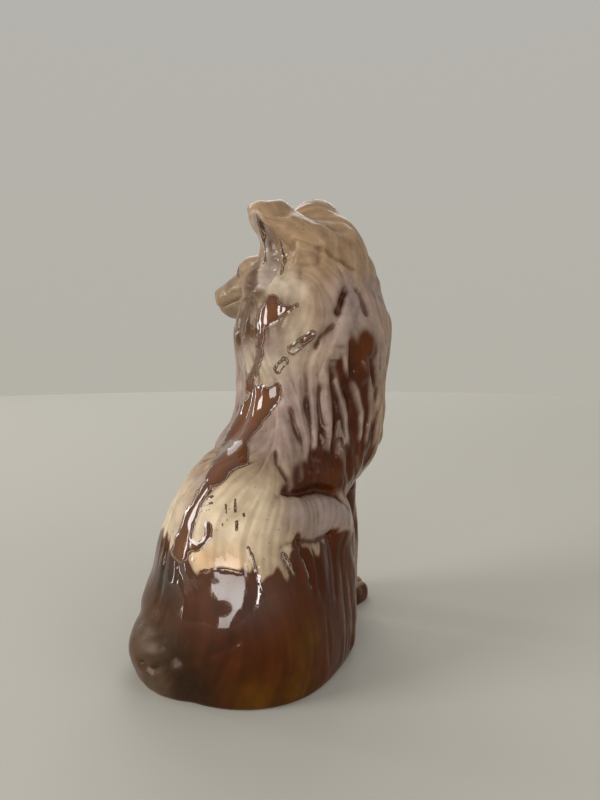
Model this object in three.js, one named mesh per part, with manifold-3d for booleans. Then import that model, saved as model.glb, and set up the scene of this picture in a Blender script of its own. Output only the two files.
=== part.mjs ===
// A seated long-haired sheepdog in glazed earthenware, looking over its left shoulder.
// It is built the way a pottery builds it: hollow castings for the body and the head, and small
// castings for the ears, legs, paws and tail, each luted with slip to the casting that carries it.
// Millimetres, +Z up. The dog sits facing -Y with its left side at +X.
// The origin is the middle of the bounding box, on the floor.

import * as THREE from "three";
import { LoftGeometry } from "three/addons/geometries/LoftGeometry.js";
import { mergeVertices } from "three/addons/utils/BufferGeometryUtils.js";
import Module from "manifold-3d";

// Castings and seams
const LUTE_GAP = 0.3; // slip line between two castings
const WALL = 4.5; // thickness of the hollow castings
const VENT_RADIUS = 8; // kiln vent under the body
const NECK_SEAM_HEIGHT = 113; // level of the seam between body and head castings

// Body: rump, loin, mane and neck
const RUMP_AT = [-4, 25, 12];
const RUMP_RADII = [34.5, 30.5, 63];
const LOIN_AT = [0, 12, 50];
const LOIN_RADIUS = 24.5;
const CHEST_AT = [-3.5, -18.5, 82];
const CHEST_RADIUS = 26.3;
const MANE_AT = [-4.5, -18.5, 116];
const MANE_RADIUS = 30.3;
const CREST_AT = [-5.5, -21, 133];
const CREST_RADIUS = 23.5;
const BIB_AT = [-1, -31, 104];
const BIB_RADIUS = 20;
const BIB_END_AT = [0, -35, 68];
const BIB_END_RADIUS = 12;
const BODY_BLEND = 8; // softness where those masses flow together

// Haunches, mirrored about the spine
const HAUNCH_AT = [21, 12, 14];
const HAUNCH_RADII = [16, 25, 40];
const KNEE_AT = [21, 1, 47];
const KNEE_RADIUS = 12.5;
const SHIN_AT = [21.5, -2, 8];
const SHIN_RADIUS = 10.5;
const HAUNCH_BLEND = 5;

// The line inside the trunk that its level sections are centred on, from the seat upwards
const SEAT_AT = [0, 14, 0];
const BELLY_AT = [0, 8, 45];

// Hair carved into the mane
const LOCK_COUNT = 18;
const LOCK_DEPTH = 1.8;
const LOCK_SWAY = 1.1; // sideways swing of a lock, in radians of its own ridge
const LOCK_WAVE = 58; // height of one swing
const LOCK_TWIST = 3; // swings set against each other round the mane
const MANE_HEM_HEIGHT = 68; // where the mane ends over the knees
const MANE_HEM_FADE = 10;

// Head, in its own frame: forward along the muzzle, left, up
const HEAD_AT = [8, -17.5, 144.5];
const HEAD_TURN = 84; // degrees from straight ahead, towards the left
const HEAD_DROP = 7; // degrees the muzzle points below level
const HEAD_TILT = 7; // degrees the head leans towards its left ear
const SKULL_AT = [-4, 0, 1.5];
const SKULL_RADII = [21, 14, 15];
const CHEEK_AT = [0, 11, -8];
const CHEEK_RADII = [13, 10, 13];
const BROW_AT = [12.5, 6, 3.5];
const BROW_RADIUS = 5;
const MUZZLE_ROOT_AT = [14, 0, -4];
const MUZZLE_ROOT_RADIUS = 10;
const MUZZLE_TIP_AT = [37, 0, -6.5];
const MUZZLE_TIP_RADIUS = 6.2;
const JAW_ROOT_AT = [12, 0, -11];
const JAW_ROOT_RADIUS = 7;
const JAW_TIP_AT = [34, 0, -11.5];
const JAW_TIP_RADIUS = 4;
const NOSE_AT = [42, 0, -4.2];
const NOSE_RADIUS = 3.4;
const EYE_AT = [15.8, 8.2, 2.6];
const EYE_RADIUS = 2.6;
const HEAD_BLEND = 5;
const EYE_BLEND = 1;

// Ears: thick hoods laid back into the nape, with the tip folding forward over the hollow
const EAR_ROOT_AT = [-9, 8, -4];
const EAR_ROOT_RADIUS = 11;
const EAR_BEND_AT = [-8, 13, 14.5];
const EAR_BEND_RADIUS = 9;
const EAR_TIP_AT = [2.5, 15, 20.5];
const EAR_TIP_RADIUS = 2.2;
const EAR_NAPE_AT = [-23, 8, 0];
const EAR_NAPE_RADIUS = 8;
const EAR_BLEND = 4;
const EAR_LEAN = 0.25; // share of the way to the tip that the hood's middle line leans
const EAR_HOLLOW_AT = [-8, 22.5, 4];
const EAR_HOLLOW_RADII = [5.5, 7.5, 13.5];

// Forelegs and their paws
const ELBOW_AT = [9, -27, 72];
const ELBOW_RADIUS = 8.5;
const WRIST_AT = [7.5, -37.5, 8];
const WRIST_RADIUS = 6;
const PAW_HEEL_AT = [8, -32, 0];
const PAW_LENGTH = 20;
const PAW_WIDTH = 13;
const PAW_HEIGHT = 10;
const TOE_COUNT = 4;
const TOE_DEPTH = 1.1;
const TOES_FROM = 0.35; // share of a paw's length where its toes begin to part
const TOES_FULL = 0.75;
const SOLE_ALLOWANCE = 2; // clay below the floor line, ground off flat

// Hind paws, lying under the haunches
const HIND_HEEL_AT = [19, 12, 0];
const HIND_PAW_LENGTH = 33;
const HIND_PAW_WIDTH = 15;
const HIND_PAW_HEIGHT = 10;

// Tail, swept from the rump round the left haunch
const TAIL_ROOT_AT = [-18, 34, 8];
const TAIL_RUMP_AT = [-6, 48, 8];
const TAIL_REAR_AT = [6.5, 49.5, 8];
const TAIL_CORNER_AT = [18.5, 42.5, 8];
const TAIL_FLANK_AT = [26, 30, 7];
const TAIL_TIP_AT = [31, 12, 6];
const TAIL_RADIUS = 10;
const TAIL_TALLNESS = 1.3; // height of a section over its width
const TAIL_ROOT_RADIUS = 6;
const TAIL_SWELL = 0.3; // share of its length over which the tail swells from its root
const TAIL_TIP_RADIUS = 2.5;
const TAIL_TUFTS = 7;
const TAIL_TUFT_DEPTH = 1;
const TAIL_TWIST = 5; // radians that the tufts turn along the tail

// Fineness of the skins
const BODY_STEPS = 72;
const BODY_PITCH = 3.8;
const HEAD_STEPS = 36;
const HEAD_PITCH = 2.4;
const EAR_STEPS = 18;
const EAR_PITCH = 2.6;
const HOLLOW_STEPS = 14;
const LEG_STEPS = 16;
const LEG_PITCH = 8;
const PAW_STEPS = 32;
const PAW_SECTIONS = 8;
const TAIL_STEPS = 28;
const TAIL_SECTIONS = 16;
const CAVITY_STEPS = 24;
const CAVITY_PITCH = 9;

const END_CUT = 0.5; // small flat left at the rounded end of a loft
const FAR = 90; // further than any surface lies from the line its sections are centred on
const NEAR = 0.4; // shortest stride while looking for a surface
const CAREFUL = 0.7; // share of the distance to the form that one stride may take
const HALVINGS = 16;
const CUTTER = 400; // side of the blocks that trim a casting

const wasm = await Module();
wasm.setup();

const { clamp, lerp, smoothstep, degToRad } = THREE.MathUtils;
const ALONG_X = new THREE.Vector3(1, 0, 0);
const ALONG_Y = new THREE.Vector3(0, 1, 0);
const ALONG_Z = new THREE.Vector3(0, 0, 1);

const point = ([x, y, z]) => new THREE.Vector3(x, y, z);
const otherSide = ([x, y, z], side) => [x * side, y, z];
const otherCheek = ([x, y, z], side) => [x, y * side, z];

// Forms: each gives the distance from a point to the form's skin, negative inside

function egg(p, centre, radii) {
  const x = (p.x - centre[0]) / radii[0];
  const y = (p.y - centre[1]) / radii[1];
  const z = (p.z - centre[2]) / radii[2];
  const size = Math.hypot(x, y, z);
  const slope = Math.hypot(x / radii[0], y / radii[1], z / radii[2]);
  return slope > 0 ? (size * (size - 1)) / slope : -Math.min(...radii);
}

function taper(p, from, to, fromRadius, toRadius) {
  const axis = point(to).sub(point(from));
  const along = p.clone().sub(point(from));
  const share = clamp(along.dot(axis) / axis.lengthSq(), 0, 1);
  return along.addScaledVector(axis, -share).length() - lerp(fromRadius, toRadius, share);
}

const ball = (p, centre, radius) => p.distanceTo(point(centre)) - radius;

function flow(a, b, softness) {
  const near = Math.max(softness - Math.abs(a - b), 0) / softness;
  return Math.min(a, b) - (near * near * softness) / 4;
}

// Rounded ridges with sharp valleys between them, from 0 in a valley to 1 on a ridge
const ridges = (phase) => Math.abs(Math.sin(phase / 2));

function haunch(p, side) {
  const thigh = egg(p, otherSide(HAUNCH_AT, side), HAUNCH_RADII);
  const knee = taper(p, otherSide(KNEE_AT, side), otherSide(SHIN_AT, side), KNEE_RADIUS, SHIN_RADIUS);
  return flow(thigh, knee, HAUNCH_BLEND);
}

function trunk(p) {
  const rump = egg(p, RUMP_AT, RUMP_RADII);
  const loin = taper(p, LOIN_AT, CHEST_AT, LOIN_RADIUS, CHEST_RADIUS);
  const mane = taper(p, CHEST_AT, MANE_AT, CHEST_RADIUS, MANE_RADIUS);
  const crest = taper(p, MANE_AT, CREST_AT, MANE_RADIUS, CREST_RADIUS);
  const bib = taper(p, BIB_AT, BIB_END_AT, BIB_RADIUS, BIB_END_RADIUS);
  const ruff = flow(Math.min(mane, crest), bib, BODY_BLEND);
  const back = flow(flow(rump, loin, BODY_BLEND), ruff, BODY_BLEND);
  return flow(back, Math.min(haunch(p, 1), haunch(p, -1)), HAUNCH_BLEND);
}

// The mane's locks run down it in swinging ridges, and die out below its hem
function maneLocks(p) {
  const round = Math.atan2(p.y - MANE_AT[1], p.x - MANE_AT[0]);
  const swing = LOCK_SWAY * Math.sin((p.z / LOCK_WAVE) * 2 * Math.PI + LOCK_TWIST * round);
  const hem = smoothstep(p.z, MANE_HEM_HEIGHT - MANE_HEM_FADE, MANE_HEM_HEIGHT + MANE_HEM_FADE);
  return LOCK_DEPTH * hem * (ridges(round * LOCK_COUNT + swing) - 0.5);
}

const hairyTrunk = (p) => trunk(p) - maneLocks(p);

function headForm(p) {
  const skull = egg(p, SKULL_AT, SKULL_RADII);
  const muzzle = taper(p, MUZZLE_ROOT_AT, MUZZLE_TIP_AT, MUZZLE_ROOT_RADIUS, MUZZLE_TIP_RADIUS);
  const jaw = taper(p, JAW_ROOT_AT, JAW_TIP_AT, JAW_ROOT_RADIUS, JAW_TIP_RADIUS);
  let form = flow(flow(skull, muzzle, HEAD_BLEND), jaw, HEAD_BLEND);
  for (const side of [1, -1]) {
    form = flow(form, egg(p, otherCheek(CHEEK_AT, side), CHEEK_RADII), HEAD_BLEND);
    form = flow(form, ball(p, otherCheek(BROW_AT, side), BROW_RADIUS), HEAD_BLEND);
    form = flow(form, ball(p, otherCheek(EYE_AT, side), EYE_RADIUS), EYE_BLEND);
  }
  return flow(form, ball(p, NOSE_AT, NOSE_RADIUS), EYE_BLEND);
}

// Skins: rings of points where rays leave a form, lofted into closed solids

function leavingPoint(form, centre, ray) {
  const probe = new THREE.Vector3();
  const depth = (t) => form(probe.copy(centre).addScaledVector(ray, t));
  let outside = FAR;
  while (outside > NEAR && depth(outside) > 0) {
    outside -= Math.max(NEAR, CAREFUL * depth(outside));
  }
  let inside = Math.max(outside, NEAR / 2);
  outside = inside + NEAR;
  for (let i = 0; i < HALVINGS; i++) {
    const middle = (inside + outside) / 2;
    if (depth(middle) > 0) outside = middle;
    else inside = middle;
  }
  return centre.clone().addScaledVector(ray, inside);
}

function ring(form, centre, across, onward, count) {
  return Array.from({ length: count }, (_, i) => {
    const angle = (i / count) * 2 * Math.PI;
    const ray = across.clone().multiplyScalar(Math.cos(angle)).addScaledVector(onward, Math.sin(angle));
    return leavingPoint(form, centre, ray);
  });
}

function steps(from, to, pitch) {
  const count = Math.ceil((to - from) / pitch);
  return Array.from({ length: count + 1 }, (_, i) => from + ((to - from) * i) / count);
}

function solidOf(geometry) {
  const bare = new THREE.BufferGeometry();
  bare.setAttribute("position", geometry.getAttribute("position")).setIndex(geometry.index);
  const merged = mergeVertices(bare);
  const vertProperties = merged.getAttribute("position").array;
  const triVerts = new Uint32Array(merged.index.array);
  return new wasm.Manifold(new wasm.Mesh({ numProp: 3, vertProperties, triVerts }));
}

const loft = (sections) => solidOf(new LoftGeometry(sections, { capStart: true, capEnd: true }));

function geometryOf(solid) {
  const mesh = solid.getMesh();
  const geometry = new THREE.BufferGeometry();
  geometry.setAttribute("position", new THREE.BufferAttribute(mesh.vertProperties, 3));
  geometry.setIndex(new THREE.BufferAttribute(mesh.triVerts, 1));
  geometry.computeVertexNormals();
  return geometry;
}

function block(lowest) {
  return solidOf(new THREE.BoxGeometry(CUTTER, CUTTER, CUTTER).translate(0, 0, lowest + CUTTER / 2));
}

const above = (height) => block(height);
const below = (height) => block(height - CUTTER);

// Body

const crown = point(CREST_AT).addScaledVector(ALONG_Z, CREST_RADIUS);
const spine = new THREE.CatmullRomCurve3([...[SEAT_AT, BELLY_AT, CHEST_AT, MANE_AT].map(point), crown]);

function spineAt(height) {
  let low = 0;
  let high = 1;
  for (let i = 0; i < HALVINGS; i++) {
    const middle = (low + high) / 2;
    if (spine.getPoint(middle).z < height) low = middle;
    else high = middle;
  }
  return spine.getPoint(low).setZ(height);
}

function topOf(form) {
  let height = CREST_AT[2];
  while (form(spineAt(height)) < 0) height += NEAR;
  return height - END_CUT;
}

function levelLoft(form, from, pitch, count) {
  const levels = steps(from, topOf(form), pitch);
  return loft(levels.map((z) => ring(form, spineAt(z), ALONG_X, ALONG_Y, count)));
}

const figure = levelLoft(hairyTrunk, 0, BODY_PITCH, BODY_STEPS);
const figureSeat = levelLoft((p) => hairyTrunk(p) - LUTE_GAP, -LUTE_GAP, BODY_PITCH, BODY_STEPS);
const cavity = levelLoft((p) => trunk(p) + WALL + LOCK_DEPTH / 2, WALL, CAVITY_PITCH, CAVITY_STEPS);

function vent() {
  const bore = new THREE.CylinderGeometry(VENT_RADIUS, VENT_RADIUS, 4 * WALL, CAVITY_STEPS);
  return solidOf(bore.rotateX(Math.PI / 2).translate(SEAT_AT[0], SEAT_AT[1], 0));
}

// Head

const headFrame = new THREE.Matrix4()
  .makeTranslation(...HEAD_AT)
  .multiply(new THREE.Matrix4().makeRotationZ(degToRad(HEAD_TURN - 90)))
  .multiply(new THREE.Matrix4().makeRotationY(degToRad(HEAD_DROP)))
  .multiply(new THREE.Matrix4().makeRotationX(degToRad(-HEAD_TILT)));

function loftOnHead(sections) {
  return loft(sections.map((section) => section.map((p) => p.applyMatrix4(headFrame))));
}

// Skull and muzzle, grown where another casting is to be seated on them
function face(growth) {
  const form = (p) => headForm(p) - growth;
  const back = SKULL_AT[0] - SKULL_RADII[0] - growth + END_CUT;
  const front = NOSE_AT[0] + NOSE_RADIUS + growth - END_CUT;
  const centreAt = (x) => {
    const share = clamp(x / MUZZLE_TIP_AT[0], 0, 1);
    return new THREE.Vector3(x, 0, lerp(SKULL_AT[2], MUZZLE_TIP_AT[2], share));
  };
  const stations = steps(back, front, HEAD_PITCH);
  return loftOnHead(stations.map((x) => ring(form, centreAt(x), ALONG_Y, ALONG_Z, HEAD_STEPS)));
}

function earHollow(side) {
  const hollow = new THREE.SphereGeometry(1, HOLLOW_STEPS, HOLLOW_STEPS).scale(...EAR_HOLLOW_RADII);
  return solidOf(hollow.translate(...otherCheek(EAR_HOLLOW_AT, side)).applyMatrix4(headFrame));
}

function ear(side) {
  const root = otherCheek(EAR_ROOT_AT, side);
  const bend = otherCheek(EAR_BEND_AT, side);
  const tip = otherCheek(EAR_TIP_AT, side);
  const nape = otherCheek(EAR_NAPE_AT, side);
  const form = (p) => {
    const upright = taper(p, root, bend, EAR_ROOT_RADIUS, EAR_BEND_RADIUS);
    const laidBack = taper(p, bend, nape, EAR_BEND_RADIUS, EAR_NAPE_RADIUS);
    const folded = taper(p, bend, tip, EAR_BEND_RADIUS, EAR_TIP_RADIUS);
    return Math.min(flow(upright, laidBack, EAR_BLEND), folded);
  };
  const lowest = EAR_ROOT_AT[2] - EAR_ROOT_RADIUS + END_CUT;
  const highest = EAR_BEND_AT[2] + EAR_BEND_RADIUS - END_CUT;
  const fold = point(bend).lerp(point(tip), EAR_LEAN);
  const centreAt = (up) => point(root).lerp(fold, (up - lowest) / (highest - lowest)).setZ(up);
  const levels = steps(lowest, highest, EAR_PITCH);
  const hood = loftOnHead(levels.map((up) => ring(form, centreAt(up), ALONG_X, ALONG_Y, EAR_STEPS)));
  return hood.subtract(headSeat).subtract(earHollow(side));
}

const headWhole = figure.intersect(above(NECK_SEAM_HEIGHT + LUTE_GAP / 2)).add(face(0));
const headSeat = figureSeat.add(face(LUTE_GAP));

// Legs, paws and tail

function paw(heel, length, width, height) {
  const end = END_CUT / length;
  const sections = Array.from({ length: PAW_SECTIONS + 1 }, (_, i) => {
    const share = lerp(end, 1 - end, i / PAW_SECTIONS);
    const swell = Math.sqrt(1 - Math.abs(2 * share - 1) ** 3);
    const parted = TOE_DEPTH * smoothstep(share, TOES_FROM, TOES_FULL);
    return Array.from({ length: PAW_STEPS }, (_, k) => {
      const angle = ((k + 0.5) / PAW_STEPS) * 2 * Math.PI;
      const aside = (width / 2) * swell * Math.cos(angle);
      const valley = 1 - ridges(Math.PI * TOE_COUNT * (1 + Math.cos(angle)));
      const reach = Math.sin(angle) > 0 ? height * swell - parted * valley : SOLE_ALLOWANCE;
      return new THREE.Vector3(heel[0] + aside, heel[1] - share * length, reach * Math.sin(angle));
    });
  });
  return loft(sections).intersect(above(0));
}

function leg(from, to, fromRadius, toRadius) {
  const form = (p) => taper(p, from, to, fromRadius, toRadius);
  const shareAt = (z) => clamp((z - from[2]) / (to[2] - from[2]), 0, 1);
  const centreAt = (z) => point(from).lerp(point(to), shareAt(z)).setZ(z);
  const levels = steps(to[2] - toRadius + END_CUT, from[2], LEG_PITCH);
  return loft(levels.map((z) => ring(form, centreAt(z), ALONG_X, ALONG_Y, LEG_STEPS)));
}

function foreleg(side) {
  const shank = leg(otherSide(ELBOW_AT, side), otherSide(WRIST_AT, side), ELBOW_RADIUS, WRIST_RADIUS);
  const foot = paw(otherSide(PAW_HEEL_AT, side), PAW_LENGTH, PAW_WIDTH, PAW_HEIGHT);
  return shank.add(foot).subtract(figureSeat);
}

function hindPaw(side) {
  const foot = paw(otherSide(HIND_HEEL_AT, side), HIND_PAW_LENGTH, HIND_PAW_WIDTH, HIND_PAW_HEIGHT);
  return foot.subtract(figureSeat);
}

function tail() {
  const stops = [TAIL_ROOT_AT, TAIL_RUMP_AT, TAIL_REAR_AT, TAIL_CORNER_AT, TAIL_FLANK_AT, TAIL_TIP_AT];
  const path = new THREE.CatmullRomCurve3(stops.map(point));
  const sections = Array.from({ length: TAIL_SECTIONS + 1 }, (_, i) => {
    const share = i / TAIL_SECTIONS;
    const across = new THREE.Vector3().crossVectors(ALONG_Z, path.getTangent(share)).normalize();
    const rooted = lerp(TAIL_ROOT_RADIUS, TAIL_RADIUS, smoothstep(share, 0, TAIL_SWELL));
    const swell = lerp(TAIL_TIP_RADIUS, rooted, Math.sqrt(1 - share ** 3));
    return Array.from({ length: TAIL_STEPS }, (_, k) => {
      const angle = (k / TAIL_STEPS) * 2 * Math.PI;
      const tuft = ridges(angle * TAIL_TUFTS + TAIL_TWIST * share) - 0.5;
      const radius = swell + TAIL_TUFT_DEPTH * (1 - share) * tuft;
      const rise = TAIL_TALLNESS * Math.sin(angle);
      const reach = across.clone().multiplyScalar(Math.cos(angle)).addScaledVector(ALONG_Z, rise);
      return path.getPoint(share).addScaledVector(reach, radius);
    });
  });
  return loft(sections).intersect(above(0)).subtract(figureSeat);
}

const castings = {
  body: figure.intersect(below(NECK_SEAM_HEIGHT - LUTE_GAP / 2)).subtract(cavity).subtract(vent()),
  head: headWhole.subtract(cavity).subtract(earHollow(1)).subtract(earHollow(-1)),
  left_ear: ear(1),
  right_ear: ear(-1),
  left_foreleg: foreleg(1),
  right_foreleg: foreleg(-1),
  left_hind_paw: hindPaw(1),
  right_hind_paw: hindPaw(-1),
  tail: tail(),
};

// Glazes
const CREAM = 0xc9b79c;
const AMBER = 0x6b3d1c;
const GLOSS = 0.12;
const CREAM_CASTINGS = ["head", "left_ear", "right_ear"];

const dog = new THREE.Group();
for (const [name, solid] of Object.entries(castings)) {
  const color = CREAM_CASTINGS.includes(name) ? CREAM : AMBER;
  const glaze = new THREE.MeshStandardMaterial({ color, roughness: GLOSS });
  const mesh = new THREE.Mesh(geometryOf(solid), glaze);
  mesh.name = name;
  dog.add(mesh);
}

const middle = new THREE.Box3().setFromObject(dog).getCenter(new THREE.Vector3());
dog.children.forEach((mesh) => mesh.position.set(-middle.x, -middle.y, 0));

export default dog;
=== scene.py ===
"""Looks of the dog figurine: a skin fused over the castings, combed into locks, painted and glazed."""

import math
from itertools import product

import bpy
import numpy as np
import openvdb
from mathutils import Matrix, Vector
from mathutils.bvhtree import BVHTree


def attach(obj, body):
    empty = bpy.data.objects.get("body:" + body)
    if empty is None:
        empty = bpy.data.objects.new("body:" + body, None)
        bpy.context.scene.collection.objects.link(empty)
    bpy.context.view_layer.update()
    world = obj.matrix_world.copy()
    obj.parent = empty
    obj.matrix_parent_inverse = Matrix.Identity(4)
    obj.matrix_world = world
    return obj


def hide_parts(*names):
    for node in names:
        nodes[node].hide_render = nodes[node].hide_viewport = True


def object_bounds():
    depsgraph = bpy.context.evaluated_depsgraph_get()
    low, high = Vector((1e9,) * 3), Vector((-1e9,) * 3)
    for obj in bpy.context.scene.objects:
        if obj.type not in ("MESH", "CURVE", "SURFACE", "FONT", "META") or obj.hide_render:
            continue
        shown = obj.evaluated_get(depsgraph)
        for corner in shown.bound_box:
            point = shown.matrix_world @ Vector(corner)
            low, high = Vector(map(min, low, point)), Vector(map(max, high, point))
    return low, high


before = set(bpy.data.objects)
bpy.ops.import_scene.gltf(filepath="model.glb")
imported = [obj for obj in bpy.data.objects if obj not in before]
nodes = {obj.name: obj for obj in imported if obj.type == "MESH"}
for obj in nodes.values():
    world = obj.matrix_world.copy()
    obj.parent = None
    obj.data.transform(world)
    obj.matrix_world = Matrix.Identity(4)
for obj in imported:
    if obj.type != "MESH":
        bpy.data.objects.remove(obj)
cad_low, cad_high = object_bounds()

# Sizes are in millimetres and places in the row frame, unless a name or a comment says otherwise.
# Pixels are columns and rows of the 600 by 800 photograph.
MM = 0.001
SEED = 11

# The grid that the castings are fused on
VOXEL = 0.5
GRID_MARGIN = 5.0
BAND_VOXELS = 7  # how far from a surface distances are kept
FACET_BLUR = 1.1  # evens out the facets of the castings
BLUR_REACH = 2.5  # how many spreads a blur reaches
CAVITY_PROBE = 2.0  # how far in front of a wall the air is tested
SEAM_FILLET = 1.2
LUTE_FILLET = {"left_ear": 4.0, "right_ear": 6.0, "tail": 2.0}
OTHER_FILLET = 3.0
CASTING_BLEND = 2.0  # how gently the values of one casting pass into the next one's

# The camera of the photograph, and its lens for a 36 mm wide long side
PHOTO_SIZE = (600, 800)
CAMERA_AT = (-151.4, 174.8, 110.5)
CAMERA_HEADING_DEG = -53.4
CAMERA_PITCH_DEG = -4.76
CAMERA_LENS = 27.0
SENSOR = 36.0

# The head's own frame, as in the castings: forward along the muzzle, left, up
HEAD_AT = (1.3, -21.4, 144.5)
HEAD_TURN_DEG = -6.0
HEAD_DROP_DEG = 7.0
HEAD_TILT_DEG = -7.0
NOSE_ON_HEAD = (42.0, 0.0, -4.2)
NOSE_REACH = 4.3
EYE_ON_HEAD = (18.6, 7.1, 2.6)
EYE_REACH = 2.7
EYE_SQUASH = (0.9, 0.9, 1.35)
GAZE_ON_HEAD = (0.88, 0.42, 0.22)
GAZE_REACH = 3.0
PUPIL_RADIUS = 1.0
IRIS_RADIUS = 1.75
LIP_REACH = 0.1
EAR_BOWL_ON_HEAD = (-8.0, 22.5, 4.0)
EAR_BOWL_RADII = (7.0, 8.5, 15.0)
EAR_BOWL_EDGE = (1.1, 0.8)  # shares of those radii

# The lie of the hair: back from the nose, swaying down the mane, and round the rump on the tail
HEAD_REACH = (22.0, 46.0)  # from the middle of the head, where its hair passes into the mane
MANE_AXIS = (-11.2, -22.4)
LOCK_SWAY = 0.45
LOCK_WAVE = 58.0
LOCK_TWIST = 3.0
RUMP_AXIS = (-6.0, 20.0)
SPINE_X = -6.7  # the body is mirrored about this
COMB_STEP = 0.9
COMB_STEPS = 13
NOISE_CELLS = 64

# The locks of each casting: how far they stand up, and how broad they are
LOCK_HEIGHT = {
    "body": 1.15, "head": 0.8, "left_ear": 0.12, "right_ear": 0.12, "tail": 0.5,
    "left_foreleg": 0.4, "right_foreleg": 0.4, "left_hind_paw": 0.1, "right_hind_paw": 0.1,
}
LOCK_BREADTH = 5.2
STRAND_BREADTH = 2.4
STRAND_SHARE = 0.35
HAIR_BREADTH = 1.3
CREASE_SOFTNESS = 0.05
MEAN_LOCK = 0.8
FOOT_FADE = (0.5, 5.0)  # heights between which the locks begin
FACE_START = (2.0, 14.0)  # how far forward on the head they give way to short hair
FACE_SMOOTHING = 0.8

# Places where the glaze lies smooth over the hair: a pixel, a radius, and how smooth
SMOOTH_DABS = [
    ((300, 285), 14, 0.8), ((278, 350), 11, 0.8), ((255, 430), 12, 0.8), ((245, 520), 18, 0.8),
    ((210, 600), 20, 0.97), ((255, 600), 16, 0.9), ((285, 640), 22, 0.9), ((240, 690), 16, 0.8),
    ((338, 590), 13, 0.85), ((335, 650), 14, 0.85), ((315, 512), 12, 0.95), ((145, 635), 15, 0.97),
    ((165, 690), 12, 0.8), ((362, 372), 11, 0.6), ((352, 430), 11, 0.5), ((372, 405), 9, 0.5),
]

# Places pulled before the locks: a pixel, how far right and up in the photograph, a radius
HAND_PULLS = [
    ((254, 246), (3.8, 0.0), 6.0),
    ((274, 250), (6.8, 0.0), 6.5),
    ((250, 218), (0.8, 0.6), 6.0),
    ((270, 204), (0.0, -1.6), 6.0),
    ((281, 203), (0.0, -3.2), 5.0),
    ((333, 224), (2.8, 1.2), 7.0),
    ((343, 238), (2.8, 1.0), 7.0),
    ((318, 208), (0.0, 0.8), 6.0),
    ((246, 272), (2.2, 0.0), 6.0),
    ((143, 640), (-2.6, 1.0), 11.0),
]

# Places on the head pulled on both sides, so twice in the middle: where and how far in the head's
# frame, and a radius
HEAD_PULLS = [
    ((9.0, 0.0, 12.0), (-0.5, 0.0, -2.5), 8.0),
    ((7.0, 9.5, 8.0), (-2.5, -1.5, -4.0), 6.5),
    ((2.2, 15.7, 19.8), (-2.2, -1.9, 3.0), 5.0),
    ((-1.5, 17.0, 12.0), (-2.0, -1.8, 0.0), 5.0),
]

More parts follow.
